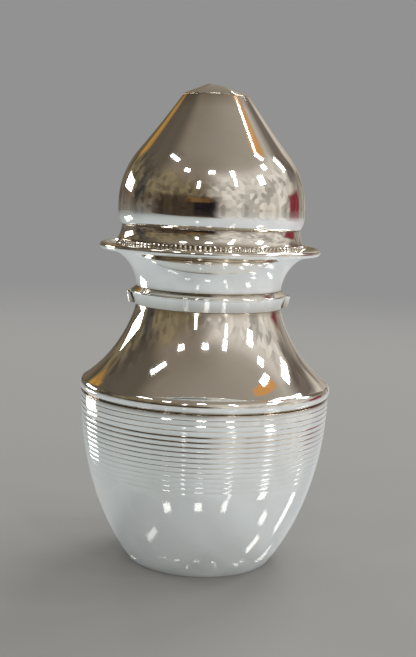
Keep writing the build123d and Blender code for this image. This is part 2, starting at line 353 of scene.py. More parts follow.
def place(piece, body, slot, material, *nodes):
    """Gives a finished piece its material and its body, and hides the nodes that it stands for. The slot is
    not used.
    """
    piece.data.materials.clear()
    piece.data.materials.append(material)
    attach(piece, body)
    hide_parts(*nodes)


# ------------------------------------------------------------------ materials
MIX_FACTOR, MIX_A, MIX_B, MIX_RESULT = 0, 6, 7, 2  # sockets of a Mix node set to colours


def add_node(tree, kind, inputs=None, stops=(), **settings):
    """Adds a node. inputs gives each socket, by name or number, a value or the socket that feeds it, and
    stops gives a ramp its (place, hex code) pairs."""
    made = tree.nodes.new(kind)
    for setting, value in settings.items():
        setattr(made, setting, value)
    for socket, value in (inputs or {}).items():
        if isinstance(value, bpy.types.NodeSocket):
            tree.links.new(value, made.inputs[socket])
        else:
            made.inputs[socket].default_value = value
    if stops:
        elements = made.color_ramp.elements
        while len(elements) < len(stops):
            elements.new(0.5)
        for element, (at, code) in zip(elements, stops):
            element.position = at
            element.color = srgb(code)
    return made


def new_material(name):
    """An empty node material, as (material, tree, socket of Object coordinates)."""
    made = bpy.data.materials.new(name)
    made.use_nodes = True
    made.node_tree.nodes.clear()
    return made, made.node_tree, add_node(made.node_tree, "ShaderNodeTexCoord").outputs["Object"]


def turning_marks(tree, coordinates, pitch):
    """Noise that changes with height and radius only, as the marks of a lathe or a buffing wheel do."""
    split = add_node(tree, "ShaderNodeSeparateXYZ", {"Vector": coordinates})
    flat = add_node(tree, "ShaderNodeCombineXYZ", {"X": split.outputs["X"], "Y": split.outputs["Y"]})
    radius = add_node(tree, "ShaderNodeVectorMath", {0: flat.outputs["Vector"]}, operation="LENGTH")
    profile = add_node(
        tree, "ShaderNodeCombineXYZ", {"X": radius.outputs["Value"], "Y": split.outputs["Z"]}
    )
    return add_node(
        tree,
        "ShaderNodeTexNoise",
        {"Vector": profile.outputs["Vector"], "Scale": 1 / pitch, "Detail": 3.0, "Roughness": 0.6},
        noise_dimensions="2D",
    )


def mirror_silver_plate(finishes):
    """Silver plate on spun brass, buffed to a mirror. The eye gets a crisp picture of the room, slightly
    wavy where the metal was spun, with hair-fine marks round the axis, a warm film in patches, and tarnish
    with painted shade in the recesses."""
    material, tree, where = new_material("mirror_buffed_silver_plate")
    marks = turning_marks(tree, where, 0.45 * MM)
    waves = add_node(tree, "ShaderNodeTexNoise", {"Vector": where, "Scale": 1 / (9 * MM), "Detail": 1.5})
    film = add_node(tree, "ShaderNodeTexNoise", {"Vector": where, "Scale": 1 / (5 * MM), "Detail": 4.0})
    recess = add_node(tree, "ShaderNodeAttribute", attribute_name="recess")
    rough = add_node(
        tree,
        "ShaderNodeMapRange",
        {"Value": film.outputs["Fac"], "From Min": 0.35, "From Max": 0.7, "To Min": 0.035, "To Max": 0.075},
    )
    dulled = add_node(
        tree,
        "ShaderNodeMath",
        {0: recess.outputs["Fac"], 1: 0.12, 2: rough.outputs["Result"]},
        operation="MULTIPLY_ADD",
    )
    stain = add_node(
        tree,
        "ShaderNodeMapRange",
        {"Value": film.outputs["Fac"], "From Min": 0.5, "From Max": 0.8, "To Min": 0.0, "To Max": 0.10},
    )
    # painted shade with tarnish: the recess mark, on top of random film stains, pulls the plate towards the
    # darker warm colour
    stain_and_painted_shade = add_node(
        tree,
        "ShaderNodeMath",
        {0: recess.outputs["Fac"], 1: 0.75, 2: stain.outputs["Result"]},
        operation="MULTIPLY_ADD",
        use_clamp=True,
    )
    colour = add_node(
        tree,
        "ShaderNodeMix",
        {MIX_FACTOR: stain_and_painted_shade.outputs["Value"], MIX_A: finishes.silver, MIX_B: finishes.tarnish_and_painted_shade},
        data_type="RGBA",
    ).outputs[MIX_RESULT]
    waviness = add_node(
        tree, "ShaderNodeBump", {"Strength": 0.35, "Distance": 0.03 * MM, "Height": waves.outputs["Fac"]}
    )
    buffing = add_node(
        tree,
        "ShaderNodeBump",
        {
            "Strength": 0.25,
            "Distance": 0.003 * MM,
            "Height": marks.outputs["Fac"],
            "Normal": waviness.outputs["Normal"],
        },
    )
    shader = add_node(
        tree,
        "ShaderNodeBsdfPrincipled",
        {
            "Base Color": colour,
            "Metallic": 1.0,
            "Roughness": dulled.outputs["Value"],
            "Normal": buffing.outputs["Normal"],
        },
    )
    add_node(tree, "ShaderNodeOutputMaterial", {"Surface": shader.outputs["BSDF"]})
    return material


def blown_glass(finishes):
    """Clear soda-lime glass, blown into a mould. The eye gets a faint green edge and slow ripples."""
    material, tree, where = new_material("mould_blown_soda_glass")
    ripples = add_node(tree, "ShaderNodeTexNoise", {"Vector": where, "Scale": 1 / (4 * MM), "Detail": 1.0})
    smears = add_node(tree, "ShaderNodeTexNoise", {"Vector": where, "Scale": 1 / (2.5 * MM), "Detail": 5.0})
    rough = add_node(
        tree,
        "ShaderNodeMapRange",
        {"Value": smears.outputs["Fac"], "From Min": 0.45, "From Max": 0.75, "To Min": 0.01, "To Max": 0.08},
    )
    surface = add_node(
        tree, "ShaderNodeBump", {"Strength": 0.4, "Distance": 0.03 * MM, "Height": ripples.outputs["Fac"]}
    )
    tint = add_node(
        tree,
        "ShaderNodeMix",
        {MIX_FACTOR: smears.outputs["Fac"], MIX_A: finishes.glass, MIX_B: srgb("#e9f4ef")},
        data_type="RGBA",
    ).outputs[MIX_RESULT]
    shader = add_node(
        tree,
        "ShaderNodeBsdfPrincipled",
        {
            "Base Color": tint,
            "Roughness": rough.outputs["Result"],
            "IOR": 1.52,
            "Transmission Weight": 1.0,
            "Normal": surface.outputs["Normal"],
        },
    )
    add_node(tree, "ShaderNodeOutputMaterial", {"Surface": shader.outputs["BSDF"]})
    return material


def turned_brass(finishes):
    """Free-cutting brass as it leaves the lathe. The eye gets a satin yellow with fine tool rings."""
    material, tree, where = new_material("turned_brass")
    rings = turning_marks(tree, where, 0.12 * MM)
    bloom = add_node(tree, "ShaderNodeTexNoise", {"Vector": where, "Scale": 1 / (1.5 * MM), "Detail": 3.0})
    colour = add_node(
        tree,
        "ShaderNodeMix",
        {MIX_FACTOR: bloom.outputs["Fac"], MIX_A: finishes.brass, MIX_B: srgb("#b8924a")},
        data_type="RGBA",
    ).outputs[MIX_RESULT]
    rough = add_node(
        tree, "ShaderNodeMapRange", {"Value": bloom.outputs["Fac"], "To Min": 0.24, "To Max": 0.38}
    )
    surface = add_node(
        tree, "ShaderNodeBump", {"Strength": 0.5, "Distance": 0.01 * MM, "Height": rings.outputs["Fac"]}
    )
    shader = add_node(
        tree,
        "ShaderNodeBsdfPrincipled",
        {
            "Base Color": colour,
            "Metallic": 1.0,
            "Roughness": rough.outputs["Result"],
            "Normal": surface.outputs["Normal"],
        },
    )
    add_node(tree, "ShaderNodeOutputMaterial", {"Surface": shader.outputs["BSDF"]})
    return material


def pressed_felt(finishes):
    """Pressed wool felt. The eye gets a dark matt nap of short crossed fibres."""
    material, tree, where = new_material("pressed_wool_felt")
    fibres = add_node(
        tree,
        "ShaderNodeTexNoise",
        {"Vector": where, "Scale": 1 / (0.35 * MM), "Detail": 6.0, "Roughness": 0.7, "Distortion": 1.5},
    )
    colour = add_node(
        tree,
        "ShaderNodeMix",
        {MIX_FACTOR: fibres.outputs["Fac"], MIX_A: finishes.felt, MIX_B: srgb("#5c636b")},
        data_type="RGBA",
    ).outputs[MIX_RESULT]
    surface = add_node(
        tree, "ShaderNodeBump", {"Strength": 0.8, "Distance": 0.08 * MM, "Height": fibres.outputs["Fac"]}
    )
    shader = add_node(
        tree,
        "ShaderNodeBsdfPrincipled",
        {
            "Base Color": colour,
            "Roughness": 0.95,
            "Sheen Weight": 0.4,
            "Sheen Roughness": 0.5,
            "Normal": surface.outputs["Normal"],
        },
    )
    add_node(tree, "ShaderNodeOutputMaterial", {"Surface": shader.outputs["BSDF"]})
    return material


def moulded_silicone(finishes):
    """Press-moulded silicone rubber. The eye gets a milky, waxy white with a fine mould grain."""
    material, tree, where = new_material("moulded_silicone")
    grain = add_node(tree, "ShaderNodeTexNoise", {"Vector": where, "Scale": 1 / (0.2 * MM), "Detail": 3.0})
    cloud = add_node(tree, "ShaderNodeTexNoise", {"Vector": where, "Scale": 1 / (6 * MM), "Detail": 2.0})
    colour = add_node(
        tree,
        "ShaderNodeMix",
        {MIX_FACTOR: cloud.outputs["Fac"], MIX_A: finishes.silicone, MIX_B: srgb("#cfcec7")},
        data_type="RGBA",
    ).outputs[MIX_RESULT]
    surface = add_node(
        tree, "ShaderNodeBump", {"Strength": 0.3, "Distance": 0.02 * MM, "Height": grain.outputs["Fac"]}
    )
    shader = add_node(
        tree,
        "ShaderNodeBsdfPrincipled",
        {
            "Base Color": colour,
            "Roughness": 0.48,
            "Subsurface Weight": 0.25,
            "Subsurface Radius": (1.0, 1.0, 0.9),
            "Subsurface Scale": 1.0 * MM,
            "Normal": surface.outputs["Normal"],
        },
    )
    add_node(tree, "ShaderNodeOutputMaterial", {"Surface": shader.outputs["BSDF"]})
    return material


def finish_of(name, make):
    """The material of that name, made once from the scene's finishes."""
    found = bpy.data.materials.get(name)
    return found or make(bpy.context.scene.dappen_finishes)


def silver():
    """The plate that every outer piece has."""
    return finish_of("mirror_buffed_silver_plate", mirror_silver_plate)


# ------------------------------------------------------------------ the pot
PAD_GAP = 0.1 * MM  # between the pad and the wall of its recess
SPIGOT_INSET = 1.35 * MM  # shoulder's rim to the line that the spigot and the lining are measured from
SPIGOT_GAP = 0.1 * MM  # from that line inwards to the outside of the spigot
SPIGOT_STEP = 0.05 * MM  # how much thinner the spigot is at its end
RING_NOSE_HALF = 0.25 * MM  # half the height of the neck ring's rounded edge
RING_FOOT_PROUD = 0.3 * MM  # ring past the neck at the ring's lower face
RING_TOP_PROUD = 0.05 * MM  # ring past the neck at its upper face
SHOULDER_TOP_PROUD = 0.1 * MM  # shoulder past the neck at its top
COLLAR_LIP_SAG = 0.72  # bulge of the flange's lip, in widths of the lip
LUG_RIM_ROUND = 0.07 * MM  # edge rounding of the open lug
LUG_TOP_ROUND = 0.42 * MM  # edge rounding of the solid lug


class DAPPEN_OT_body(bpy.types.Operator):
    """Spins the grooved body of the pot"""

    bl_idname = "dappen.body"
    bl_label = "Body"

    def execute(self, context):
        sizes = context.scene.dappen_pot
        soft = context.scene.dappen_finishes.softening
        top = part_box("body_shell")[1]
        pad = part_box("base_pad")[1]
        body_r, body_h = top.x, top.z
        # The side is part of an ellipse centred at the height of the mouth.
        side_b = body_h + sizes.belly_reach
        side_a = (body_r - sizes.foot_radius) / (1 - sqrt(1 - (body_h / side_b) ** 2))
        centre = (body_r - side_a, body_h)

        def side_r(z):
            return centre[0] + side_a * sqrt(1 - ((body_h - z) / side_b) ** 2)

        groove_z = []
        z = body_h - sizes.groove_below_mouth
        while z >= sizes.groove_above_foot:
            groove_z.append(z)
            z -= sizes.groove_pitch
        lowest = groove_z[-1] - sizes.groove_half
        foot = ellipse_arc(
            centre, side_a, side_b, -asin(body_h / side_b), -asin((body_h - lowest) / side_b)
        )
        outside = foot[:-1]
        for number, z in enumerate(reversed(groove_z)):
            faded = sizes.groove_fade * (1 - number / (len(groove_z) - 1))
            outside.append(Vector((side_r(z - sizes.groove_half), z - sizes.groove_half)))
            outside.append(Vector((side_r(z) - sizes.groove_depth * (1 - faded), z)))
            outside.append(Vector((side_r(z + sizes.groove_half), z + sizes.groove_half)))
        outside.append(Vector((body_r, body_h)))
        wall = sizes.body_wall
        inner_start = -asin((body_h - sizes.body_floor) / (side_b - wall))
        inside = ellipse_arc(centre, side_a - wall, side_b - wall, 0, inner_start)
        axis_top = Vector((0, sizes.body_floor))
        pad_r, pad_h = pad.x + PAD_GAP, pad.z
        recess = [Vector((0, pad_h)), Vector((pad_r, pad_h)), Vector((pad_r, 0))]
        outline = recess + outside + inside + [axis_top]

        def in_grooves(point):
            return lowest <= point.y <= groove_z[0] + sizes.groove_half

        piece = turned("spun_body", softened(outline, soft, in_grooves))

        def depth_at(point):
            """Tarnish with painted shade deep in a groove, and painted shade just under the shoulder's rolled
            edge.
            """
            # painted shade: groove bottoms and the body's top under the rolled edge are darkened
            sunk = (side_r(min(point.y, body_h)) - point.x) / sizes.groove_depth
            in_groove = max(0.0, min(1.0, sunk)) if sunk < 2 else 0.0
            return max(0.35 * in_groove, 0.8 * max(0.0, 1 - (body_h - point.y) / (0.5 * MM)))

        mark_tarnish_and_shade(piece, depth_at)
        place(piece, "pot", "silver_plate", silver(), "body_shell")
        return {"FINISHED"}


class DAPPEN_OT_shoulder(bpy.types.Operator):
    """Spins the hollow shoulder with its rolled edge"""

    bl_idname = "dappen.shoulder"
    bl_label = "Shoulder"

    def execute(self, context):
        sizes = context.scene.dappen_pot
        soft = context.scene.dappen_finishes.softening
        low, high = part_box("shoulder")
        body_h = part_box("body_shell")[1].z
        ring_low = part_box("neck_ring")[0].z
        rim = high.x
        wall = sizes.shoulder_wall
        spigot_r = rim - SPIGOT_INSET
        roll_in = rim - sizes.roll_inset
        roll_top = body_h + sizes.roll_height
        top_r = sizes.neck_radius + SHOULDER_TOP_PROUD
        edge = bend((roll_in, body_h), (roll_in, roll_top), -sizes.roll_inset)
        cone = bend((roll_in, roll_top), (top_r, ring_low), sizes.shoulder_hollow)
        lining = bend((top_r - wall, ring_low), (spigot_r - wall, roll_top - wall), -sizes.shoulder_hollow)
        skirt = [Vector(
            (spigot_r - wall, low.z)
        ), Vector((spigot_r - SPIGOT_GAP - SPIGOT_STEP, low.z)), Vector((spigot_r - SPIGOT_GAP, body_h))]
        outline = edge + cone[1:] + lining + skirt
        piece = turned("rolled_shoulder", softened(outline, soft))
        mark_tarnish_and_shade(piece, near_height(ring_low, reach=0.6 * MM))
        place(piece, "pot", "silver_plate", silver(), "shoulder")
        return {"FINISHED"}


class DAPPEN_OT_neck_ring(bpy.types.Operator):
    """Turns the wedge-shaped ring round the neck"""

    bl_idname = "dappen.neck_ring"
    bl_label = "Neck ring"

    def execute(self, context):
        sizes = context.scene.dappen_pot
        low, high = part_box("neck_ring")
        ring_r = high.y
        bore = sizes.neck_radius - sizes.neck_wall
        nose_z = low.z + sizes.ring_nose
        half = RING_NOSE_HALF
        nose = bend((ring_r - half, nose_z - half), (ring_r - half, nose_z + half), -half)
        top_r = sizes.neck_radius + RING_TOP_PROUD
        outline = nose + [
            Vector((top_r, high.z)),
            Vector((bore, high.z)),
            Vector((bore, low.z)),
            Vector((sizes.neck_radius + RING_FOOT_PROUD, low.z)),
        ]
        piece = turned("wedge_ring", softened(outline, context.scene.dappen_finishes.softening))
        mark_tarnish_and_shade(piece, near_height(low.z, high.z, reach=0.35 * MM))
        place(piece, "pot", "silver_plate", silver(), "neck_ring")
        return {"FINISHED"}


class DAPPEN_OT_lugs(bpy.types.Operator):
    """Makes the open lug on the right and the solid lug on the left of the neck ring"""

    bl_idname = "dappen.lugs"
    bl_label = "Lugs"

    def execute(self, context):
        sizes = context.scene.dappen_pot
        ring_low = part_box("neck_ring")[0].z
        for name, node, side in (("lug_tube", "lug_right", 1), ("lug_stub", "lug_left", -1)):
            lean = sizes.lug_lean * side
            along = Vector((sin(lean), 0, cos(lean)))
            top = Vector((side * sizes.lug_reach, 0, ring_low + sizes.lug_top))
            tube_length = 2 * sizes.lug_top
            bpy.ops.object.select_all(action="DESELECT")
            bpy.ops.mesh.primitive_cylinder_add(
                vertices=48,
                radius=sizes.lug_radius,
                depth=tube_length,
                location=top - along * tube_length / 2,
                rotation=(0, lean, 0),
            )
            piece = start_piece(name)
            select_where(piece, lambda centre, normal: normal.dot(along) > 0.9)
            if side > 0:
                bpy.ops.mesh.inset(thickness=sizes.lug_radius - sizes.lug_bore_radius)
                down = -along * sizes.lug_bore_depth
                bpy.ops.mesh.extrude_region_move(TRANSFORM_OT_translate={"value": down})
                select_where(piece, lambda centre, normal: abs(normal.dot(along)) > 0.9 and centre.x > 0)
            rounding = LUG_RIM_ROUND if side > 0 else LUG_TOP_ROUND
            bpy.ops.mesh.region_to_loop()
            bpy.ops.mesh.bevel(offset=rounding, segments=5, affect="EDGES", clamp_overlap=True)
            bpy.ops.mesh.select_all(action="SELECT")
            bpy.ops.mesh.bisect(
                plane_co=(0, 0, ring_low), plane_no=(0, 0, 1), clear_inner=True, use_fill=True
            )
            close_piece(piece)
            mark_tarnish_and_shade(piece, near_height(ring_low, reach=0.8 * MM))
            place(piece, "pot", "silver_plate", silver(), node)
        return {"FINISHED"}


class DAPPEN_OT_collar(bpy.types.Operator):
    """Spins the trumpet neck with its flange and thick lip"""

    bl_idname = "dappen.collar"
    bl_label = "Collar"

    def execute(self, context):
        sizes = context.scene.dappen_pot
        soft = context.scene.dappen_finishes.softening
        low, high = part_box("collar")
        well_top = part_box("glass_well")[1]
        flange_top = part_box("gadroon_ring")[0].z
        seat_z = well_top.z - context.scene.dappen_well.lip
        seat_r = well_top.x + context.scene.dappen_well.clearance
        bore = sizes.neck_radius - sizes.neck_wall
        # The outside of the trumpet is a quarter of an ellipse, upright at the neck and level at the flange.
        centre = (high.x - sizes.flange_lip, low.z - sizes.neck_hidden)
        reach_r = centre[0] - sizes.neck_radius
        reach_z = flange_top - sizes.flange_thickness - centre[1]
        start = pi - asin((low.z - centre[1]) / reach_z)
        outside = ellipse_arc(centre, reach_r, reach_z, start, pi / 2)
        lip_r = high.x - sizes.flange_lip
        lip_top = flange_top + sizes.flange_lip_rise
        lip = bend(outside[-1], (lip_r, lip_top), -COLLAR_LIP_SAG * sizes.flange_lip)
        flat = lip_r - sizes.flange_lip_rise
        outline = (
            outside
            + lip[1:]
            + [
                Vector((flat, flange_top)),
                Vector((seat_r + sizes.mouth_slope, flange_top)),
                Vector((seat_r, seat_z)),
                Vector((bore, seat_z)),
                Vector((bore, low.z)),
            ]
        )
        piece = turned("trumpet_collar", softened(outline, soft))
        mark_tarnish_and_shade(piece, near_height(low.z, reach=0.45 * MM))
        place(piece, "pot", "silver_plate", silver(), "collar")
        return {"FINISHED"}


# ------------------------------------------------------------------ the well
class DAPPEN_OT_well(bpy.types.Operator):
    """Blows the glass well that hangs by its lip in the collar"""

    bl_idname = "dappen.well"
    bl_label = "Glass well"

    def execute(self, context):
        sizes = context.scene.dappen_well
        pot = context.scene.dappen_pot
        low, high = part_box("glass_well")
        outer = pot.neck_radius - pot.neck_wall - sizes.clearance
        bowl = outer - sizes.wall
        bowl_z = low.z + sizes.bottom + bowl
        hollow = ellipse_arc((0, bowl_z), bowl, bowl, 0, -pi / 2)
        foot = ellipse_arc(
            (outer - sizes.bottom, low.z + sizes.bottom), sizes.bottom, sizes.bottom, -pi / 2, 0
        )
        outline = (
            [Vector((0, low.z))]
            + foot
            + [
                Vector((outer, high.z - sizes.lip)),
                Vector((high.x, high.z - sizes.lip)),
                Vector((high.x, high.z)),
                Vector((bowl, high.z)),
            ]
            + hollow
        )
        piece = turned("blown_glass_well", softened(outline, 0.3 * MM))
        place(piece, "well", "clear_glass", finish_of("mould_blown_soda_glass", blown_glass), "glass_well")
        return {"FINISHED"}


# ------------------------------------------------------------------ the lid
class DAPPEN_OT_gadroon(bpy.types.Operator):
    """Makes the band of fine upright ribs at the lid's foot"""

    bl_idname = "dappen.gadroon"
    bl_label = "Gadroon ring"

    def execute(self, context):
        sizes = context.scene.dappen_lid
        low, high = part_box("gadroon_ring")
        core = high.y - sizes.rib_depth
        height = high.z - low.z
        outline = [Vector(
            (core, low.z)
        ), Vector((core, high.z)), Vector((sizes.ring_bore, high.z)), Vector((sizes.ring_bore, low.z))]
        band = turned("gadroon_core", softened(outline, 0.08 * MM))
        rib_half = pi * core / sizes.rib_count * sizes.rib_share
        bpy.ops.object.select_all(action="DESELECT")
        bpy.ops.mesh.primitive_uv_sphere_add(
            segments=8,
            ring_count=6,
            radius=1.0,
            location=(0, -core, low.z + height / 2),
            scale=(rib_half, sizes.rib_depth, height / 2),
        )
        ribs = start_piece("gadroon_ribs")
        bpy.ops.mesh.spin(steps=sizes.rib_count, dupli=True, angle=2 * pi, center=(0, 0, 0), axis=(0, 0, 1))
        close_piece(ribs)

        def depth_at(point):
            """Painted shade between the ribs, plain silver on their crests."""
            # painted shade: darkest on the band's core between the ribs, none at the crests
            return 0.9 * max(0.0, min(1.0, 1 - (point.x - core) / (0.5 * sizes.rib_depth)))

        for piece in (band, ribs):
            mark_tarnish_and_shade(piece, depth_at)
        bpy.ops.object.select_all(action="DESELECT")
        band.select_set(True)
        ribs.select_set(True)
        context.view_layer.objects.active = band
        bpy.ops.object.join()
        band.name = "gadroon_border"
        band.data.name = "gadroon_border"
        place(band, "lid", "silver_plate", silver(), "gadroon_ring")
        return {"FINISHED"}


class DAPPEN_OT_lid_band(bpy.types.Operator):
    """Turns the hollow flare between the ribs and the dome"""

    bl_idname = "dappen.lid_band"
    bl_label = "Lid band"

    def execute(self, context):
        sizes = context.scene.dappen_lid
        low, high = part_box("lid_band")
        flare = bend((high.x, low.z), (sizes.waist_radius, high.z), sizes.band_hollow)
        outline = flare + [Vector(
            (sizes.waist_radius - sizes.band_wall, high.z)
        ), Vector((high.x - sizes.band_wall, low.z))]
        piece = turned("flared_band", softened(outline, context.scene.dappen_finishes.softening))
        mark_tarnish_and_shade(piece, near_height(low.z, high.z, reach=0.35 * MM))
        place(piece, "lid", "silver_plate", silver(), "lid_band")
        return {"FINISHED"}


class DAPPEN_OT_dome(bpy.types.Operator):
    """Spins the onion-shaped dome, which turns under in a bead at its foot"""

    bl_idname = "dappen.dome"
    bl_label = "Dome"

    def execute(self, context):
        sizes = context.scene.dappen_lid
        low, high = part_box("lid_dome")
        belt_low = low.z + sizes.bead_height
        belt_high = belt_low + sizes.belt_height
        turn = Vector((sizes.turn_radius, belt_high + sizes.turn_height))
        bead = tangent_bend((high.x, belt_low), (0, -1), (sizes.waist_radius, low.z))[::-1]
        bulge = tangent_bend((high.x, belt_high), (0, 1), turn)
        hollow = tangent_bend(turn, bulge[-1] - bulge[-2], (sizes.top_radius, high.z))
        outside = bead + bulge + hollow[1:]
        inside = wall_inside(outside, sizes.dome_wall)
        inside = [point for point in inside if low.z < point.y < high.z - sizes.dome_wall]
        hole = sizes.stud_radius + 0.1 * MM
        outline = (
            outside
            + [Vector((hole, high.z)), Vector((hole, high.z - sizes.dome_wall))]
            + inside
            + [Vector((inside[-1].x, low.z))]
        )
        piece = turned("onion_dome", softened(outline, context.scene.dappen_finishes.softening))
        mark_tarnish_and_shade(piece, near_height(low.z, high.z, reach=0.35 * MM))
        place(piece, "lid", "silver_plate", silver(), "lid_dome")
        return {"FINISHED"}


class DAPPEN_OT_crown(bpy.types.Operator):
    """Cuts the low faceted crown with its sloping top, and its stud"""

    bl_idname = "dappen.crown"
    bl_label = "Crown"

    def execute(self, context):
        sizes = context.scene.dappen_lid
        low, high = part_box("crown_cap")
        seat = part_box("lid_dome")[1].z
        rise = sizes.crown_slope * (high.x - sizes.crown_tip)
        bpy.ops.object.select_all(action="DESELECT")
        bpy.ops.mesh.primitive_cone_add(
            vertices=sizes.crown_sides,
            radius1=high.x,
            radius2=sizes.crown_tip,
            depth=rise,
            location=(0, 0, seat + sizes.crown_edge + rise / 2),
            rotation=(0, 0, pi / 2),
        )
        piece = start_piece("faceted_crown")
        select_where(piece, lambda centre, normal: normal.z < -0.9)
        down = (0, 0, -sizes.crown_edge)
        bpy.ops.mesh.extrude_region_move(TRANSFORM_OT_translate={"value": down})
        bpy.ops.mesh.select_all(action="SELECT")
        slope = sizes.crown_tilt
        bpy.ops.mesh.bisect(
            plane_co=(0, 0, seat + sizes.crown_cut),
            plane_no=(sin(slope), 0, cos(slope)),
            clear_outer=True,
            use_fill=True,
        )
        bpy.ops.mesh.select_all(action="SELECT")
        bpy.ops.mesh.bevel(offset=0.16 * MM, segments=3, affect="EDGES", clamp_overlap=True)
        close_piece(piece)
        bpy.ops.object.select_all(action="DESELECT")
        bpy.ops.mesh.primitive_cylinder_add(
            vertices=32, radius=sizes.stud_radius, depth=seat - low.z, location=(0, 0, (seat + low.z) / 2)
        )
        stud = start_piece("crown_stud")
        select_where(stud, lambda centre, normal: normal.z < -0.9)
        bpy.ops.mesh.bevel(offset=0.25 * MM, segments=3, affect="EDGES")
        close_piece(stud)
        bpy.ops.object.select_all(action="DESELECT")
        stud.select_set(True)
        piece.select_set(True)
        context.view_layer.objects.active = piece
        bpy.ops.object.join()
        mark_tarnish_and_shade(piece, near_height(seat, reach=0.3 * MM))
        place(piece, "lid", "silver_plate", silver(), "crown_cap")
        return {"FINISHED"}


class DAPPEN_OT_plug(bpy.types.Operator):
    """Turns the pan under the lid and the seal that it presses on the well"""

    bl_idname = "dappen.plug"
    bl_label = "Plug and seal"

    def execute(self, context):
        sizes = context.scene.dappen_lid
        low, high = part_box("lid_plug")
        wall = sizes.plug_wall
        pan = sizes.plug_radius
        outline = [
            Vector((0, low.z)),
            Vector((pan, low.z)),
            Vector((pan, high.z - wall)),
            Vector((high.x, high.z - wall)),
            Vector((high.x, high.z)),
            Vector((pan - wall, high.z)),
            Vector((pan - wall, low.z + wall)),
            Vector((0, low.z + wall)),
        ]
        plug = turned("lid_pan", softened(outline, 0.25 * MM))
        mark_tarnish_and_shade(plug, near_height(high.z - wall, reach=0.5 * MM))
        place(plug, "lid", "silver_plate", silver(), "lid_plug")
        low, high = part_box("lid_seal")
        outline = [Vector(
            (high.x, low.z)
        ), Vector((high.x, high.z)), Vector((sizes.seal_bore, high.z)), Vector((sizes.seal_bore, low.z))]
        seal = turned("seal_washer", softened(outline, 0.3 * MM))
        place(seal, "lid", "silicone", finish_of("moulded_silicone", moulded_silicone), "lid_seal")
        return {"FINISHED"}


class DAPPEN_OT_fittings(bpy.types.Operator):
    """Finishes the pad, the washer and the nut, whose shapes come from the frame"""

    bl_idname = "dappen.fittings"
    bl_label = "Pad, washer and nut"

    def execute(self, context):
        felt = finish_of("pressed_wool_felt", pressed_felt)
        brass = finish_of("turned_brass", turned_brass)
        for node, material in (("base_pad", felt), ("crown_washer", brass), ("crown_nut", brass)):
            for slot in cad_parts[node].material_slots:
                slot.material = material
        return {"FINISHED"}


# ------------------------------------------------------------------ the studio
# Soft boxes round the table, as seen from the pot: azimuth from the front, positive to the right,
# elevation, width and height in degrees, and brightness as radiance.
LAMPS = (
    (-41, 46, 6, 4, 14),
    (-2, 47, 6, 4, 14),
    (30, 44, 4, 8, 12),
    (31, 33, 3, 10, 5),
    (-18, 29, 3, 9, 7),
    (70, 32, 7, 10, 10),
    (88, 43, 6, 5, 12),
    (100, 52, 5, 8, 14),
    (121, 33, 6, 12, 10),
    (-80, 54, 14, 3, 9),
    (-128, 12, 20, 8, 9),
    (152, 46, 24, 16, 8),
    (-160, 40, 6, 10, 6),
)
LAMP_DISTANCE = 1.8
TABLE_RADIUS = 4.0
CAMERA_PLACE = (0.2 * MM, -222 * MM, 76.2 * MM)
CAMERA_PITCH = radians(7.6)  # downwards
CAMERA_ROLL = radians(2.3)  # the pot leans by as much to the right
CAMERA_LENS = 61.2
# The room's tones from a little below the horizon, at 0, to straight up, at 1.
LEFT_TONES = (
    (0.0, "#86837a"),
    (0.15, "#6b5f50"),
    (0.25, "#71664f"),
    (0.35, "#7c7058"),
    (0.5, "#81766a"),
    (0.65, "#7f7568"),
    (1.0, "#8c8378"),
)
RIGHT_TONES = (
    (0.0, "#bdb9b0"),
    (0.15, "#b0a598"),
    (0.25, "#cbc2b4"),
    (0.35, "#d6cfc6"),
    (0.5, "#b3aba1"),
    (0.65, "#9e968a"),
    (1.0, "#958d82"),
)
PATCHES = (
    # azimuth, elevation, half width, half height in degrees, softness, colour
    (60, 20, 55, 22, 0.35, "#d9d2c8"),
    (-75, 27, 28, 14, 0.35, "#86795f"),
    (-100, 20, 8, 16, 0.3, "#4d4944"),
    (-118, 42, 40, 17, 0.4, "#5c5449"),
    (-32, 5, 40, 8, 0.35, "#4a3e32"),
    (-8, 2, 14, 5, 0.3, "#221c20"),
    (-15, 9, 14, 3, 0.4, "#7a5c3c"),
    (121, 4, 12, 6, 0.25, "#8f3c44"),
    (137, 26, 12, 14, 0.5, "#6f645b"),
    (108, 56, 8, 8, 0.25, "#c99154"),
    (-150, 25, 8, 5, 0.3, "#b98a44"),
)


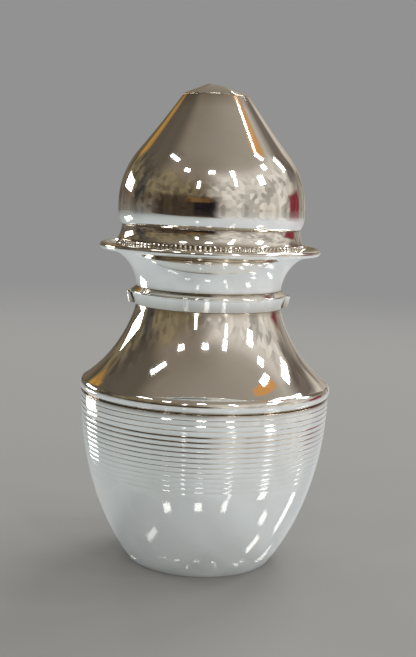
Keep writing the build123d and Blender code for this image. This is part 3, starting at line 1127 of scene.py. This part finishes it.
def world_light(finishes):
    """The room's light: plain for the camera and for matt surfaces, a soft warm room for polished ones."""
    world = bpy.data.worlds.new("studio")
    bpy.context.scene.world = world
    world.use_nodes = True
    tree = world.node_tree
    tree.nodes.clear()
    heading = add_node(tree, "ShaderNodeTexCoord").outputs["Generated"]
    split = add_node(tree, "ShaderNodeSeparateXYZ", {"Vector": heading})
    towards = add_node(tree, "ShaderNodeMath", {0: split.outputs["Y"], 1: -1.0}, operation="MULTIPLY")
    turn = add_node(
        tree, "ShaderNodeMath", {0: split.outputs["X"], 1: towards.outputs["Value"]}, operation="ARCTAN2"
    )
    azimuth = add_node(tree, "ShaderNodeMath", {0: turn.outputs["Value"]}, operation="DEGREES")
    lift = add_node(tree, "ShaderNodeMath", {0: split.outputs["Z"]}, operation="ARCSINE")
    elevation = add_node(tree, "ShaderNodeMath", {0: lift.outputs["Value"]}, operation="DEGREES")
    height = add_node(
        tree,
        "ShaderNodeMapRange",
        {"Value": elevation.outputs["Value"], "From Min": -10.0, "From Max": 90.0},
    )
    left, right = [
        add_node(tree, "ShaderNodeValToRGB", {"Fac": height.outputs["Result"]}, stops=tones).outputs["Color"]
        for tones in (LEFT_TONES, RIGHT_TONES)
    ]
    side = add_node(
        tree,
        "ShaderNodeMapRange",
        {"Value": split.outputs["X"], "From Min": -0.35, "From Max": 0.55},
        interpolation_type="SMOOTHSTEP",
    )
    room = add_node(
        tree,
        "ShaderNodeMix",
        {MIX_FACTOR: side.outputs["Result"], MIX_A: left, MIX_B: right},
        data_type="RGBA",
    ).outputs[MIX_RESULT]
    clutter = add_node(
        tree, "ShaderNodeCombineXYZ", {"X": azimuth.outputs["Value"], "Y": elevation.outputs["Value"]}
    )
    shelves = add_node(
        tree,
        "ShaderNodeTexVoronoi",
        {"Vector": clutter.outputs["Vector"], "Scale": 0.17, "Randomness": 0.8},
        voronoi_dimensions="2D",
        distance="CHEBYCHEV",
    )
    shelf = add_node(tree, "ShaderNodeSeparateColor", {"Color": shelves.outputs["Color"]})
    boxes = add_node(
        tree, "ShaderNodeMapRange", {"Value": shelf.outputs["Red"], "To Min": 0.3, "To Max": 1.2}
    )
    low_part = add_node(
        tree,
        "ShaderNodeMapRange",
        {
            "Value": elevation.outputs["Value"],
            "From Min": 44.0,
            "From Max": 24.0,
            "To Min": 0.0,
            "To Max": 0.75,
        },
    )
    for azimuth_at, elevation_at, half_width, half_height, softness, code in PATCHES:
        room = patch(
            tree, azimuth, elevation, room, azimuth_at, elevation_at, half_width, half_height, softness, code
        )
    cluttered = add_node(
        tree,
        "ShaderNodeMix",
        {MIX_FACTOR: low_part.outputs["Result"], MIX_A: room, MIX_B: boxes.outputs["Result"]},
        data_type="RGBA",
        blend_type="MULTIPLY",
    ).outputs[MIX_RESULT]
    rays = add_node(tree, "ShaderNodeLightPath")
    matt = add_node(
        tree,
        "ShaderNodeMix",
        {MIX_FACTOR: rays.outputs["Is Glossy Ray"], MIX_A: srgb("#bfbdb8"), MIX_B: cluttered},
        data_type="RGBA",
    ).outputs[MIX_RESULT]
    through = add_node(
        tree,
        "ShaderNodeMix",
        {MIX_FACTOR: rays.outputs["Is Transmission Ray"], MIX_A: matt, MIX_B: finishes.backdrop},
        data_type="RGBA",
    ).outputs[MIX_RESULT]
    seen = add_node(
        tree,
        "ShaderNodeMix",
        {MIX_FACTOR: rays.outputs["Is Camera Ray"], MIX_A: through, MIX_B: finishes.backdrop},
        data_type="RGBA",
    ).outputs[MIX_RESULT]
    light = add_node(tree, "ShaderNodeBackground", {"Color": seen, "Strength": 1.0})
    add_node(tree, "ShaderNodeOutputWorld", {"Surface": light.outputs["Background"]})


def patch(tree, azimuth, elevation, below, azimuth_at, elevation_at, half_width, half_height, softness, code):
    """Lays a soft-edged patch of colour over the room at a place given in degrees."""
    shares = []
    for angle, middle, half in ((azimuth, azimuth_at, half_width), (elevation, elevation_at, half_height)):
        off = add_node(tree, "ShaderNodeMath", {0: angle.outputs["Value"], 1: middle}, operation="SUBTRACT")
        size = add_node(tree, "ShaderNodeMath", {0: off.outputs["Value"]}, operation="ABSOLUTE")
        share = add_node(tree, "ShaderNodeMath", {0: size.outputs["Value"], 1: half}, operation="DIVIDE")
        shares.append(share.outputs["Value"])
    edge = add_node(tree, "ShaderNodeMath", {0: shares[0], 1: shares[1]}, operation="MAXIMUM")
    cover = add_node(
        tree,
        "ShaderNodeMapRange",
        {
            "Value": edge.outputs["Value"],
            "From Min": 1.0 + softness,
            "From Max": 1.0 - softness,
            "To Min": 0.0,
            "To Max": 1.0,
        },
        interpolation_type="SMOOTHSTEP",
    )
    return add_node(
        tree,
        "ShaderNodeMix",
        {MIX_FACTOR: cover.outputs["Result"], MIX_A: below, MIX_B: srgb(code)},
        data_type="RGBA",
    ).outputs[MIX_RESULT]


def table_top(finishes):
    """A pale lacquered table top. Seen directly it is a plain grey that fades into the backdrop. The
    polished metal sees it paler and cooler, with painted light making it brighter towards the right and
    painted shade making it dark far off at the front left."""
    material, tree, where = new_material("pale_lacquered_table")
    split = add_node(tree, "ShaderNodeSeparateXYZ", {"Vector": where})
    side = add_node(
        tree,
        "ShaderNodeMapRange",
        {"Value": split.outputs["X"], "From Min": -0.12, "From Max": 0.25},
        interpolation_type="SMOOTHSTEP",
    )
    # painted light: as the metal sees it, the table brightens from left to right
    pale_with_painted_light = add_node(
        tree,
        "ShaderNodeMix",
        {MIX_FACTOR: side.outputs["Result"], MIX_A: srgb("#c1cad0"), MIX_B: srgb("#dce0e7")},
        data_type="RGBA",
    ).outputs[MIX_RESULT]
    radius = add_node(tree, "ShaderNodeVectorMath", {0: where}, operation="LENGTH")
    front = add_node(
        tree,
        "ShaderNodeMapRange",
        {"Value": split.outputs["Y"], "From Min": -0.25, "From Max": -0.5},
        interpolation_type="SMOOTHSTEP",
    )
    leftward = add_node(
        tree,
        "ShaderNodeMapRange",
        {"Value": split.outputs["X"], "From Min": 0.15, "From Max": 0.0},
        interpolation_type="SMOOTHSTEP",
    )
    front_left_painted_shade = add_node(
        tree,
        "ShaderNodeMath",
        {0: front.outputs["Result"], 1: leftward.outputs["Result"]},
        operation="MULTIPLY",
    )
    # painted shade: far off at the front left the table is darkened
    shaded = add_node(
        tree,
        "ShaderNodeMix",
        {MIX_FACTOR: front_left_painted_shade.outputs["Value"], MIX_A: pale_with_painted_light, MIX_B: srgb("#4c453d")},
        data_type="RGBA",
    ).outputs[MIX_RESULT]
    reflected = add_node(
        tree, "ShaderNodeBsdfPrincipled", {"Base Color": shaded, "Roughness": 0.06, "IOR": 1.5}
    )
    plain = add_node(tree, "ShaderNodeBsdfDiffuse", {"Color": finishes.floor})
    clear = add_node(tree, "ShaderNodeBsdfTransparent")
    fade = add_node(
        tree,
        "ShaderNodeMapRange",
        {"Value": radius.outputs["Value"], "From Min": 0.25, "From Max": 0.6},
        interpolation_type="SMOOTHSTEP",
    )
    seen = add_node(
        tree, "ShaderNodeMixShader", {0: fade.outputs["Result"], 1: plain.outputs[0], 2: clear.outputs[0]}
    )
    rays = add_node(tree, "ShaderNodeLightPath")
    direct = add_node(
        tree,
        "ShaderNodeMath",
        {0: rays.outputs["Is Camera Ray"], 1: rays.outputs["Is Transmission Ray"]},
        operation="MAXIMUM",
    )
    both = add_node(
        tree,
        "ShaderNodeMixShader",
        {0: direct.outputs["Value"], 1: reflected.outputs["BSDF"], 2: seen.outputs["Shader"]},
    )
    add_node(tree, "ShaderNodeOutputMaterial", {"Surface": both.outputs["Shader"]})
    return material


class DAPPEN_OT_stage(bpy.types.Operator):
    """Sets up the table, the soft boxes, the room's light and the camera"""

    bl_idname = "dappen.stage"
    bl_label = "Studio"

    def execute(self, context):
        scene = context.scene
        finishes = scene.dappen_finishes
        bpy.ops.object.select_all(action="DESELECT")
        bpy.ops.mesh.primitive_circle_add(vertices=96, radius=TABLE_RADIUS, fill_type="NGON")
        table = bpy.context.object
        table.name = "table_top"
        table.data.materials.append(table_top(finishes))
        world_light(finishes)
        middle = Vector((0, 0, 0.05))
        for number, (azimuth, elevation, width, height, brightness) in enumerate(LAMPS):
            az, el = radians(azimuth), radians(elevation)
            heading = Vector((sin(az) * cos(el), -cos(az) * cos(el), sin(el)))
            size_x = 2 * LAMP_DISTANCE * tan(radians(width) / 2)
            size_y = 2 * LAMP_DISTANCE * tan(radians(height) / 2)
            light = bpy.data.lights.new("soft_box_%02d" % number, "AREA")
            light.shape = "RECTANGLE"
            light.size = size_x
            light.size_y = size_y
            light.energy = brightness * pi * size_x * size_y
            lamp = bpy.data.objects.new(light.name, light)
            scene.collection.objects.link(lamp)
            lamp.location = middle + heading * LAMP_DISTANCE
            lamp.rotation_euler = heading.to_track_quat("Z", "Y").to_euler()
        lens = bpy.data.cameras.new("camera")
        lens.sensor_width = 36.0
        lens.lens = CAMERA_LENS
        lens.clip_start = 0.01
        camera = bpy.data.objects.new("camera", lens)
        scene.collection.objects.link(camera)
        camera.location = CAMERA_PLACE
        pitch = Matrix.Rotation(pi / 2 - CAMERA_PITCH, 3, "X")
        roll = Matrix.Rotation(CAMERA_ROLL, 3, "Z")
        camera.rotation_euler = (pitch @ roll).to_euler()
        scene.camera = camera
        scene.view_settings.view_transform = "Standard"
        return {"FINISHED"}


# ------------------------------------------------------------------ the add-on
class DAPPEN_PT_panel(bpy.types.Panel):
    """Lists the pieces of the dish"""

    bl_idname = "DAPPEN_PT_panel"
    bl_label = "Dappen dish"
    bl_space_type = "VIEW_3D"
    bl_region_type = "UI"
    bl_category = "Dappen dish"

    def draw(self, context):
        for operator in OPERATORS:
            self.layout.operator(operator.bl_idname)


OPERATORS = (
    DAPPEN_OT_body,
    DAPPEN_OT_shoulder,
    DAPPEN_OT_neck_ring,
    DAPPEN_OT_lugs,
    DAPPEN_OT_collar,
    DAPPEN_OT_well,
    DAPPEN_OT_gadroon,
    DAPPEN_OT_lid_band,
    DAPPEN_OT_dome,
    DAPPEN_OT_crown,
    DAPPEN_OT_plug,
    DAPPEN_OT_fittings,
    DAPPEN_OT_stage,
)
SETTINGS = (
    ("dappen_pot", PotSizes),
    ("dappen_well", WellSizes),
    ("dappen_lid", LidSizes),
    ("dappen_finishes", Finishes),
)


def register():
    for name, group in SETTINGS:
        bpy.utils.register_class(group)
        setattr(bpy.types.Scene, name, PointerProperty(type=group))
    for operator in OPERATORS:
        bpy.utils.register_class(operator)
    bpy.utils.register_class(DAPPEN_PT_panel)


def unregister():
    bpy.utils.unregister_class(DAPPEN_PT_panel)
    for operator in reversed(OPERATORS):
        bpy.utils.unregister_class(operator)
    for name, group in reversed(SETTINGS):
        delattr(bpy.types.Scene, name)
        bpy.utils.unregister_class(group)


def main():
    register()
    bpy.ops.dappen.body()
    bpy.ops.dappen.shoulder()
    bpy.ops.dappen.neck_ring()
    bpy.ops.dappen.lugs()
    bpy.ops.dappen.collar()
    bpy.ops.dappen.well()
    bpy.ops.dappen.gadroon()
    bpy.ops.dappen.lid_band()
    bpy.ops.dappen.dome()
    bpy.ops.dappen.crown()
    bpy.ops.dappen.plug()
    bpy.ops.dappen.fittings()
    bpy.ops.dappen.stage()


if __name__ == "__main__":
    main()
